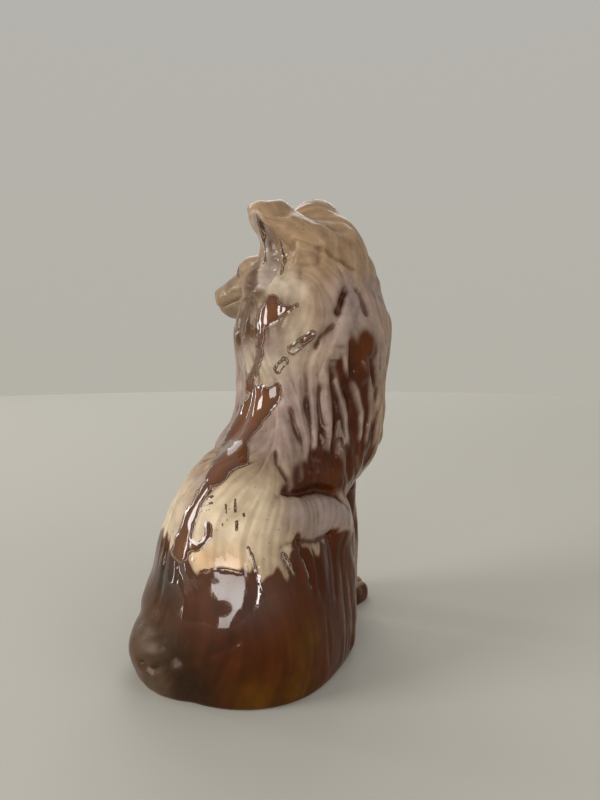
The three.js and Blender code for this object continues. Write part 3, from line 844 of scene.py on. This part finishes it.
run = run_distance()
lock_shape = rounded(locks) + STRAND_SHARE * rounded(strands)
level = 1 - POOL_SMOOTHING * smoothstep(*POOL_BANK, run)
tools = tool_relief()
relief = level * (lock_shape * lock_height() + tools) + RUN_RISE * smoothstep(*RUN_BANK, run)
hollow = smoothed(relief, HOLLOW_SPREAD) - relief
tool_hollow = smoothed(tools, HOLLOW_SPREAD) - tools


# The colours

def bearing(places, axis):
    return np.degrees(np.arctan2(places[:, 1] - axis[1], places[:, 0] - axis[0]))


def edge_height(axis, places, bearings_and_heights=()):
    """How high an edge through those places runs at the bearing of each point."""
    places = np.array(places)
    bearings = [*bearing(places, axis), *(b for b, _ in bearings_and_heights)]
    heights = [*places[:, 2], *(h for _, h in bearings_and_heights)]
    return np.interp(bearing(points, axis), bearings, heights, period=360)


def laid(colour, paint, share):
    return colour + (np.array(paint) - colour) * share[:, None]


def russet_share():
    """How far russet covers each point of the mane, down to its hem."""
    hem_path = path_at(TOOL_MARKS["mane_hem"][2])
    hem = edge_height(MANE_AXIS, hem_path + [mirrored(place) for place in hem_path])
    hem_fade = smoothstep(*HEM_FADE, points[:, 2] - hem)
    grooves = np.clip(tool_hollow / GROOVE_DEPTH, -1, 1)
    between = 1 - (1 - covered(RUSSET_POOLS, either_side)) * (1 - covered(TENT_POOLS, dab_at))
    depth = RUSSET_REACH * between + RUSSET_GROOVES * np.minimum(grooves, RUSSET_GROOVE_LIMIT)
    pooled = smoothstep(*RUSSET_EDGE, depth) * smoothstep(*RUSSET_RIM, between)
    shoulder = covered(SHOULDER_POOLS, either_side)
    patch = smoothstep(*SOLID_EDGE, shoulder + SHOULDER_GROOVES * grooves + SHOULDER_STRANDS * strands)
    patch = patch * smoothstep(*RUSSET_RIM, shoulder)
    hem_cover = covered(HEM_POOLS, either_side)
    solid = smoothstep(*SOLID_EDGE, hem_cover + HEM_GROOVES * grooves + HEM_STRANDS * strands)
    pale = 1 - PALE_SHARE * smoothstep(*PALE_STRANDS, strands)
    return smoothed(np.max([pooled, patch, solid], 0) * pale * hem_fade, RUSSET_SOFTNESS)


def amber_share():
    seen = path_at(AMBER_EDGE)
    streak = AMBER_STREAK
    for pixel, radius, height in AMBER_FINGERS:
        streak = streak + height * either_side(pixel, radius)
    top = edge_height(RUMP_AXIS, seen, AMBER_UNSEEN)
    top = top + streak * (AMBER_LOCKS * locks + AMBER_STRANDS * strands)
    return smoothstep(top + AMBER_FADE, top - AMBER_FADE, points[:, 2])


def in_ear_bowl():
    places = seen_from_head()
    places[:, 1] = np.abs(places[:, 1])
    from_bowl = np.linalg.norm((places - EAR_BOWL_ON_HEAD) / EAR_BOWL_RADII, axis=1)
    return smoothstep(*EAR_BOWL_EDGE, from_bowl)


def airbrushed():
    """The colour of each point under the sharp runs of glaze."""
    colour = np.tile(np.array(BEIGE), (len(points), 1))
    for paint, dabs in SPRAYED:
        for spot in dabs:
            colour = laid(colour, paint, either_side(*spot))
    colour = laid(colour, CREAM, dab(np.array(BIB_AT), BIB_RADIUS))
    colour = laid(colour, EAR_BOWL_PAINT, in_ear_bowl())
    # Painted shade, with glaze pooled there: russet laid into the hollows of the relief
    tint = CREASE_GLAZE_AND_SHADE_HEAD + CREASE_GLAZE_AND_SHADE_MANE * smoothstep(*CREASE_GLAZE_AND_SHADE_FADE, points[:, 2])
    colour = laid(colour, RUSSET, tint * smoothstep(*CREASE_EDGE, hollow))
    russet = np.tile(np.array(RUSSET), (len(points), 1))
    for spot in CHESTNUT_DABS:
        russet = laid(russet, CHESTNUT, dab_at(*spot))
    colour = laid(colour, russet, russet_share())
    amber = np.tile(np.array(AMBER), (len(points), 1))
    for tint, dabs in AMBER_TINTS:
        for spot in dabs:
            amber = laid(amber, tint, dab_at(*spot))
    return laid(colour, amber, amber_share())


def ink_and_iris():
    """How far each point is from the edge of the inked features, and from the middle of the iris."""
    places = seen_from_head()
    nose = np.linalg.norm(places - NOSE_ON_HEAD, axis=1) - NOSE_REACH
    places[:, 1] = np.abs(places[:, 1])
    pupil = snapped(on_head(np.array(EYE_ON_HEAD) + GAZE_REACH * np.array(GAZE_ON_HEAD)))
    from_pupil = places - np.array(head_matrix().inverted() @ Vector(pupil))
    eye = np.linalg.norm(from_pupil * EYE_SQUASH, axis=1) - EYE_REACH
    iris = np.abs(np.linalg.norm(from_pupil, axis=1) - (PUPIL_RADIUS + IRIS_RADIUS) / 2)
    mouths = [distance_to(lips)[0] - LIP_REACH for lips in face_paths(FACE_MARKS["mouth"][2])]
    return np.min([nose, eye, *mouths], 0), iris - (IRIS_RADIUS - PUPIL_RADIUS) / 2


def glossiness():
    gloss = np.maximum(smoothstep(*DARK_GLOSS, paint @ LUMINANCE), in_ear_bowl())
    for spot in SATIN_DABS:
        gloss = gloss * (1 - dab_at(*spot))
    return gloss


ink, iris = ink_and_iris()
paint = airbrushed()
underside = (normals[:, 2] < BASE_FACING) & (points[:, 2] < BASE_HEIGHT)
point_values = {
    "hair": hairs,
    "run": run,
    "ink": ink,
    "iris": iris,
    "gloss": glossiness(),
    "lustre": np.max([dab_at(*spot) for spot in LUSTRE_DABS], 0),
    "bare": smoothed((inside | underside).astype(float), CLAY_SOFTNESS),
}
colours = np.concatenate([paint, np.ones((len(points), 1))], 1)
points = points + normals * relief[:, None]
points[:, 2] = np.maximum(points[:, 2], 0)
normals = skin_normals()


# The glazes

# Their noise: scale over a metre, and detail
CLOUD_NOISE = (160, 6)
GRAIN_NOISE = (900, 3)
WAVER_NOISE = (1100, 2)
SKIN_NOISE = (420, 4)
CLOUD_RANGE = (0.3, 0.7)

# Shades along each noise and across the hairs, and the edges of what is laid over them
CLOUD_SHADES = [(0.3, (0.8, 0.76, 0.72, 1)), (0.7, (1.15, 1.12, 1.1, 1))]
STROKE_RANGE = (-2, 2)
STROKE_SHADES = [(0.2, (0.84, 0.81, 0.79, 1)), (0.8, (1.08, 1.07, 1.07, 1))]
CLAY_SHADES = [(0.35, (0.44, 0.304, 0.216, 1)), (0.65, (0.55, 0.38, 0.27, 1))]
SPECK_EDGE = (0.66, 0.72)
SPECK_SHARES = {"cream_glaze": 0.35, "amber_glaze": 0.5}
INK_EDGE = (-0.2, 0.1)
IRIS_EDGE = (-0.1, 0.1)
CLAY_EDGE = (0.35, 0.65)

# The colour across a pool and how far it covers, by the distance from the pool's edge
POOL_STOPS = [
    (-3.0, (0.125, 0.035, 0.003, 1)),
    (-1.2, (0.09, 0.022, 0.003, 1)),
    (-0.55, (0.06, 0.014, 0.003, 1)),
    # A pale line of thinner glaze and painted reflection along the pool's rounded edge
    (-0.40, (0.36, 0.25, 0.15, 1)),
    (-0.25, (0.06, 0.017, 0.006, 1)),
    (-0.05, (0.05, 0.016, 0.007, 1)),
    (0.10, (0.05, 0.016, 0.007, 0)),
]
POOL_DEPTH = 3.0
POOL_MARGIN = 1.0
POOL_WAVER = 0.35

# How they shine, with the depth of the bump in metres
SATIN_ROUGHNESS = 0.34
WET_ROUGHNESS = 0.07
CLAY_ROUGHNESS = 0.7
CLOUD_ROUGHNESS = (-0.03, 0.05)
SKIN_BUMP = {"Strength": 0.12, "Distance": 0.0006}
SHADER_VALUES = {
    "Coat Roughness": 0.04,
    "Coat IOR": 1.6,
    "IOR": 1.5,
    "Specular IOR Level": 0.25,
    "Specular Tint": (1.0, 0.82, 0.66, 1),
}


def new_material(name):
    material = bpy.data.materials.new(name)
    material.use_nodes = True
    return material, material.node_tree, material.node_tree.nodes["Principled BSDF"]


def add_node(tree, kind, inputs, **settings):
    """A node with its settings, each input either set to a value or fed from a socket."""
    node = tree.nodes.new(kind)
    for name, value in settings.items():
        setattr(node, name, value)
    for name, value in inputs.items():
        if isinstance(value, bpy.types.NodeSocket):
            tree.links.new(value, node.inputs[name])
        else:
            node.inputs[name].default_value = value
    return node


def attribute(tree, name, output="Fac"):
    return add_node(tree, "ShaderNodeAttribute", {}, attribute_name=name).outputs[output]


def texture(tree, place, scale, detail):
    inputs = {"Vector": place, "Scale": scale, "Detail": detail}
    return add_node(tree, "ShaderNodeTexNoise", inputs).outputs["Fac"]


def mapped(tree, value, from_low, from_high, to_low, to_high):
    limits = {"From Min": from_low, "From Max": from_high, "To Min": to_low, "To Max": to_high}
    return add_node(tree, "ShaderNodeMapRange", {"Value": value, **limits}).outputs["Result"]


def combined(tree, operation, first, second):
    return add_node(tree, "ShaderNodeMath", {0: first, 1: second}, operation=operation).outputs[0]


def mixed(tree, share, first, second, blend="MIX"):
    inputs = {0: share, 6: first, 7: second}
    return add_node(tree, "ShaderNodeMix", inputs, data_type="RGBA", blend_type=blend).outputs[2]


def ramp(tree, value, stops):
    node = add_node(tree, "ShaderNodeValToRGB", {"Fac": value})
    elements = node.color_ramp.elements
    while len(elements) < len(stops):
        elements.new(0.5)
    for element, (at, colour) in zip(elements, stops):
        element.position = at
        element.color = colour
    return node


def pool_ramp(tree, place):
    """The colour of the pools of glaze, with a painted reflection along their edges, and how far it
    covers each point.
    """
    waver = mapped(tree, texture(tree, place, *WAVER_NOISE), 0, 1, -POOL_WAVER, POOL_WAVER)
    gap = combined(tree, "ADD", attribute(tree, "run"), waver)
    breadth = POOL_DEPTH + POOL_MARGIN
    stops = [((at + POOL_DEPTH) / breadth, colour) for at, colour in POOL_STOPS]
    return ramp(tree, mapped(tree, gap, -POOL_DEPTH, POOL_MARGIN, 0, 1), stops).outputs


def glaze_colour(tree, cloud, grain, pool, bare, speck_share):
    """The paint with its clouds, strokes and specks, and over it pools, inked features and bare clay."""
    colour = attribute(tree, "paint", "Color")
    stroke = mapped(tree, attribute(tree, "hair"), *STROKE_RANGE, 0, 1)
    for value, shades in ((cloud, CLOUD_SHADES), (stroke, STROKE_SHADES)):
        colour = mixed(tree, 1, colour, ramp(tree, value, shades).outputs["Color"], "MULTIPLY")
    colour = mixed(tree, mapped(tree, grain, *SPECK_EDGE, 0, speck_share), colour, (*UMBER, 1))
    colour = mixed(tree, pool["Alpha"], colour, pool["Color"])
    for label, edge, feature in (("ink", INK_EDGE, INK), ("iris", IRIS_EDGE, IRIS)):
        share = mapped(tree, attribute(tree, label), *edge, 1, 0)
        colour = mixed(tree, share, colour, (*feature, 1))
    return mixed(tree, bare, colour, ramp(tree, grain, CLAY_SHADES).outputs["Color"])


def glaze_roughness(tree, cloud, pool, bare):
    """Low where the glaze is glossy or lies in a pool, and high on bare clay."""
    wet = combined(tree, "MAXIMUM", attribute(tree, "gloss"), pool["Alpha"])
    rough = mapped(tree, wet, 0, 1, SATIN_ROUGHNESS, WET_ROUGHNESS)
    rough = combined(tree, "ADD", rough, mapped(tree, cloud, *CLOUD_RANGE, *CLOUD_ROUGHNESS))
    return combined(tree, "MAXIMUM", rough, mapped(tree, bare, 0, 1, 0, CLAY_ROUGHNESS))


def glaze(slot, speck_share):
    material, tree, shader = new_material(slot)
    place = add_node(tree, "ShaderNodeTexCoord", {}).outputs["Object"]
    cloud = texture(tree, place, *CLOUD_NOISE)
    grain = texture(tree, place, *GRAIN_NOISE)
    pool = pool_ramp(tree, place)
    bare = mapped(tree, attribute(tree, "bare"), *CLAY_EDGE, 0, 1)
    skin = add_node(tree, "ShaderNodeBump", {"Height": texture(tree, place, *SKIN_NOISE), **SKIN_BUMP})
    sockets = {
        "Base Color": glaze_colour(tree, cloud, grain, pool, bare, speck_share),
        "Roughness": glaze_roughness(tree, cloud, pool, bare),
        "Normal": skin.outputs["Normal"],
        "Coat Weight": combined(tree, "MAXIMUM", attribute(tree, "lustre"), pool["Alpha"]),
    }
    for name, socket in sockets.items():
        tree.links.new(socket, shader.inputs[name])
    for name, value in SHADER_VALUES.items():
        shader.inputs[name].default_value = value
    return material


# The pieces

def skin_piece(name, index):
    own = quads[casting[quads[:, 0]] == index]
    used, faces = np.unique(own, return_inverse=True)
    mesh = bpy.data.meshes.new(name + "_skin")
    mesh.from_pydata(points[used] * MM, [], faces.reshape(-1, 4), shade_flat=False)
    mesh.normals_split_custom_set_from_vertices(normals[used].tolist())
    for label, values in point_values.items():
        layer = mesh.attributes.new(label, "FLOAT", "POINT")
        layer.data.foreach_set("value", values[used].astype(np.float32))
    colour = mesh.attributes.new("paint", "FLOAT_COLOR", "POINT")
    colour.data.foreach_set("color", colours[used].astype(np.float32).ravel())
    piece = bpy.data.objects.new(name + "_skin", mesh)
    bpy.context.scene.collection.objects.link(piece)
    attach(piece, "root")
    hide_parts(name)
    slot = "cream_glaze" if name == "head" or name.endswith("ear") else "amber_glaze"
    mesh.materials.append(glazes[slot])


glazes = {slot: glaze(slot, share) for slot, share in SPECK_SHARES.items()}
for index, name in enumerate(names):
    skin_piece(name, index)


# The stage, in metres

# Painted light: the floor is paler further out, to make up for the lamps' light falling off there
FLOOR_NEAR = (0.50, 0.48, 0.425, 1)
FLOOR_FAR = (0.56, 0.54, 0.475, 1)
FLOOR_FADE = (0.15, 1.5)
FLOOR_RADIUS = 1.4
FLOOR_STEP_DEG = 5
FLOOR_NOISE = (3, 3)
FLOOR_CLOUD = (-0.02, 0.02)
FLOOR_ROUGHNESS = 0.8
HORIZON = (0.46, 0.44, 0.39, 1)
ZENITH = (0.46, 0.455, 0.44, 1)
ZENITH_AT = 0.9
CAMERA_CLIP = 0.01
LOOK_AT = Vector((0, 0, 0.09))

# Each lamp: bearing and height in degrees, bearing 0 towards -Y and 90 towards +X, then in metres how
# far away it is and its breadth and height, and its radiance
LAMPS = {
    "window": (143, 24, 1.6, (0.64, 0.60), 9),
    "window_side": (106, 17, 1.6, (0.08, 0.80), 12),
    "window_low": (140, 4, 1.6, (0.05, 0.40), 14),
    "doorway": (198, 5, 1.6, (0.84, 0.50), 6),
    "doorway_edge": (234, 5, 1.6, (0.09, 0.50), 16),
    "soft_right": (275, 40, 3.0, (1.7, 1.7), 1.0),
    "soft_front": (40, 40, 3.0, (2.0, 2.0), 1.8),
}


def place_camera():
    camera = bpy.data.objects.new("photo_camera", bpy.data.cameras.new("photo_camera"))
    camera.location = Vector(CAMERA_AT) * MM
    camera.rotation_euler = camera_turn().to_euler()
    camera.data.lens = CAMERA_LENS
    camera.data.clip_start = CAMERA_CLIP
    bpy.context.scene.collection.objects.link(camera)
    bpy.context.scene.camera = camera


def place_floor():
    turns = np.radians(np.arange(0, 360, FLOOR_STEP_DEG))
    rim = [(FLOOR_RADIUS * math.cos(turn), FLOOR_RADIUS * math.sin(turn), 0) for turn in turns]
    mesh = bpy.data.meshes.new("floor")
    mesh.from_pydata(rim, [], [range(len(rim))])
    material, tree, shader = new_material("floor")
    place = add_node(tree, "ShaderNodeTexCoord", {}).outputs["Object"]
    far = add_node(tree, "ShaderNodeVectorMath", {0: place}, operation="LENGTH").outputs["Value"]
    cloud = mapped(tree, texture(tree, place, *FLOOR_NOISE), *CLOUD_RANGE, *FLOOR_CLOUD)
    # Painted light: paler further from the figure
    fade = combined(tree, "ADD", mapped(tree, far, *FLOOR_FADE, 0, 1), cloud)
    shade = ramp(tree, fade, [(0, FLOOR_NEAR), (1, FLOOR_FAR)])
    tree.links.new(shade.outputs["Color"], shader.inputs["Base Color"])
    shader.inputs["Roughness"].default_value = FLOOR_ROUGHNESS
    mesh.materials.append(material)
    floor = bpy.data.objects.new("floor", mesh)
    bpy.context.scene.collection.objects.link(floor)


def place_lamp(name, bearing_deg, height_deg, far, size, radiance):
    turn, rise = math.radians(bearing_deg), math.radians(height_deg)
    away = Vector((math.sin(turn) * math.cos(rise), -math.cos(turn) * math.cos(rise), math.sin(rise)))
    lamp = bpy.data.lights.new(name, "AREA")
    lamp.shape = "RECTANGLE"
    lamp.size, lamp.size_y = size
    lamp.energy = radiance * math.pi * size[0] * size[1]
    light = bpy.data.objects.new(name, lamp)
    light.location = LOOK_AT + far * away
    light.rotation_euler = (-away).to_track_quat("-Z", "Y").to_euler()
    bpy.context.scene.collection.objects.link(light)


def place_sky():
    world = bpy.data.worlds.new("studio")
    world.use_nodes = True
    tree = world.node_tree
    way = add_node(tree, "ShaderNodeTexCoord", {}).outputs["Generated"]
    rise = add_node(tree, "ShaderNodeSeparateXYZ", {"Vector": way}).outputs["Z"]
    shade = ramp(tree, rise, [(0.0, HORIZON), (ZENITH_AT, ZENITH)])
    tree.links.new(shade.outputs["Color"], tree.nodes["Background"].inputs["Color"])
    bpy.context.scene.world = world


place_camera()
place_floor()
place_sky()
for name, values in LAMPS.items():
    place_lamp(name, *values)
bpy.context.scene.view_settings.view_transform = "Standard"
